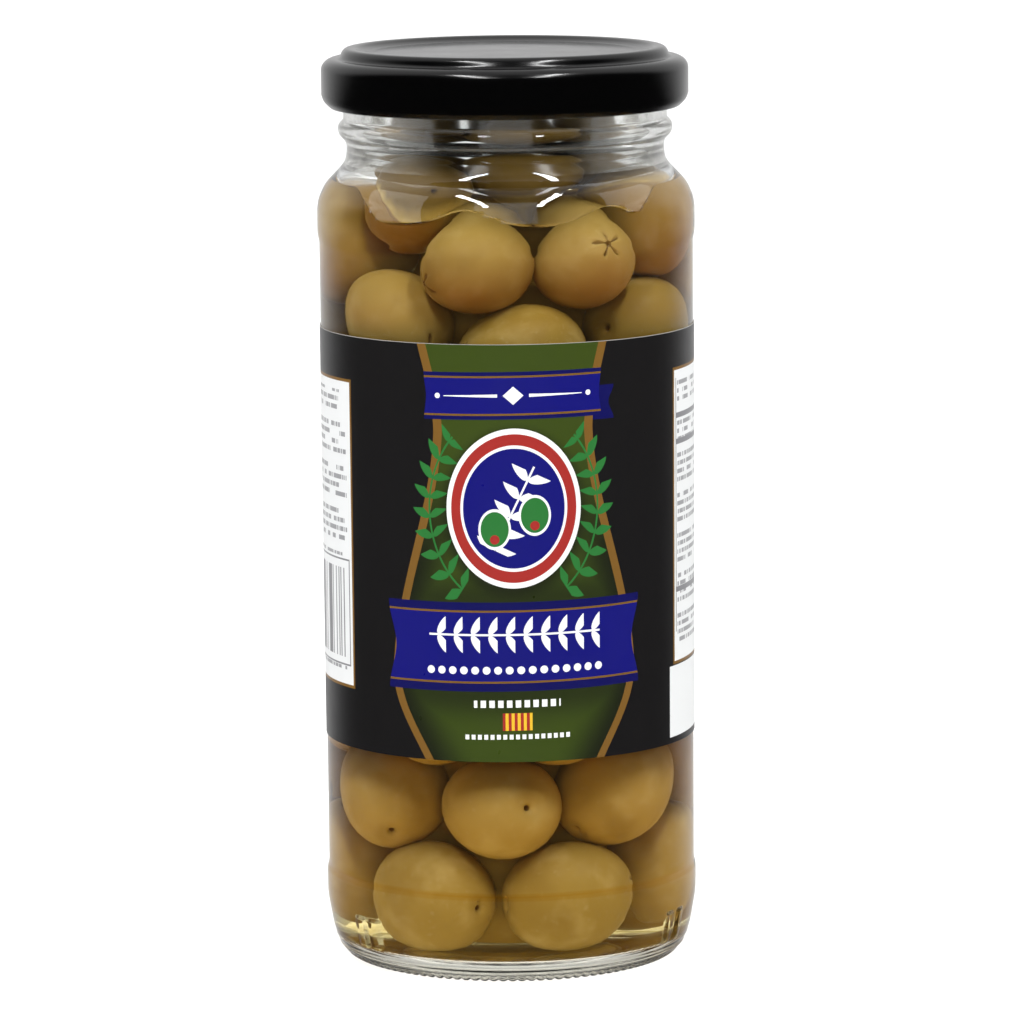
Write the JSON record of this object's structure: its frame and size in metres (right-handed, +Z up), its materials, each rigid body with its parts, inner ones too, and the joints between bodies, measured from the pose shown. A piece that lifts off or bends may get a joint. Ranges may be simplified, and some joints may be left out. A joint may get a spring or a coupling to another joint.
{
  "type": "jar of olives",
  "caption": "Tall round clear glass jar of pitted green olives in brine, with a black twist-off lid and a wrap-round paper label.",
  "frame": {"origin": "middle of the ring that the jar stands on, at the table", "axes": "+Z up along the jar's axis, -Y towards the front of the label"},
  "size_m": [0.0632, 0.0632, 0.153],
  "materials": {
    "glass": "clear, glossy",
    "lid_enamel": "glossy black enamel",
    "label_paper": "satin printed paper",
    "olive_flesh": "smooth, moist"
  },
  "bodies": {
    "root": {"jar": "glass", "lid": "lid_enamel", "label": "label_paper", "olives": "olive_flesh"}
  },
  "joints": []
}
